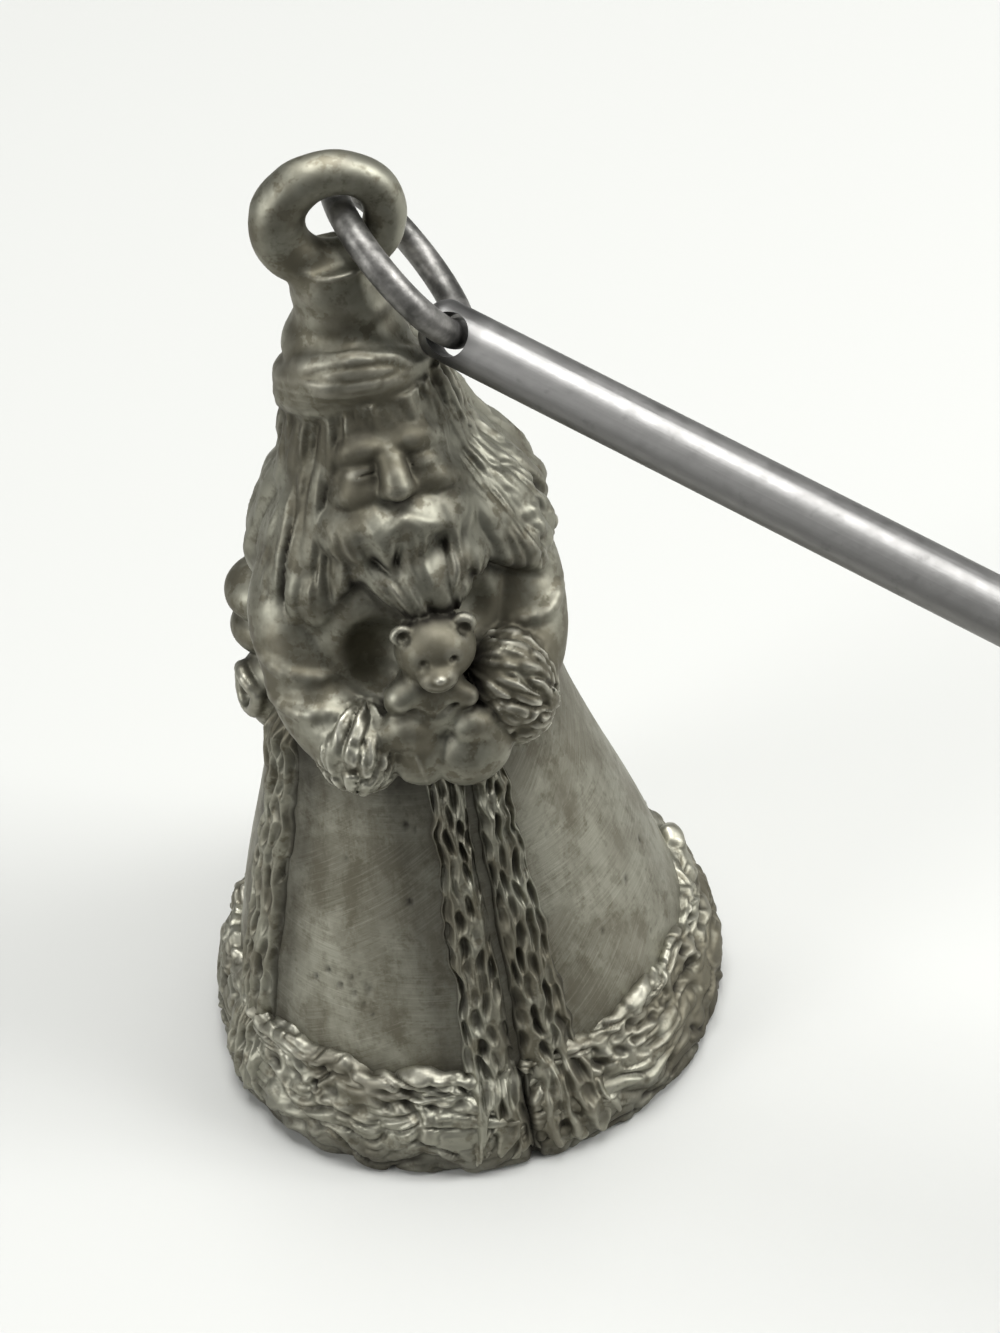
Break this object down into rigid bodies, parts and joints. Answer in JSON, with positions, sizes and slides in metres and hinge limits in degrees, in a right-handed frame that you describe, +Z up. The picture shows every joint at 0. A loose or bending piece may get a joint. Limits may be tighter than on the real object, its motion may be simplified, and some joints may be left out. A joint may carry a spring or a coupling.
{
  "type": "candle snuffer",
  "caption": "Candle snuffer: a hollow cast figure in cap and fur-trimmed robe is the bell, hung by a wire ring from a long round rod handle",
  "frame": {"origin": "centre of the bell's mouth, on the table", "axes": "-Y is the figure's front, +X is the figure's left, +Z is up; millimetre drawing, metre record"},
  "size_m": [0.1605, 0.1403, 0.0747],
  "materials": {
    "pewter": "cast pewter, dull with dark hollows and rubbed high spots",
    "wire": "dull drawn wire",
    "rod": "satin, brushed lengthwise"
  },
  "bodies": {
    "bell": {"figure_bell": "pewter"},
    "ring": {"link_ring": "wire"},
    "handle": {"handle_rod": "rod"}
  },
  "joints": [
    {"name": "ring_swing", "type": "hinge", "parent": "bell", "child": "ring", "pos_m": [0.0012, 0, 0.0699], "axis": [0, -1, 0], "range_deg": [0, 150]},
    {"name": "handle_swing", "type": "hinge", "parent": "ring", "child": "handle", "pos_m": [0.00666, -0.00277, 0.06099], "axis": [-0.3643, -0.7169, 0.5944], "range_deg": [-45, 115]}
  ]
}
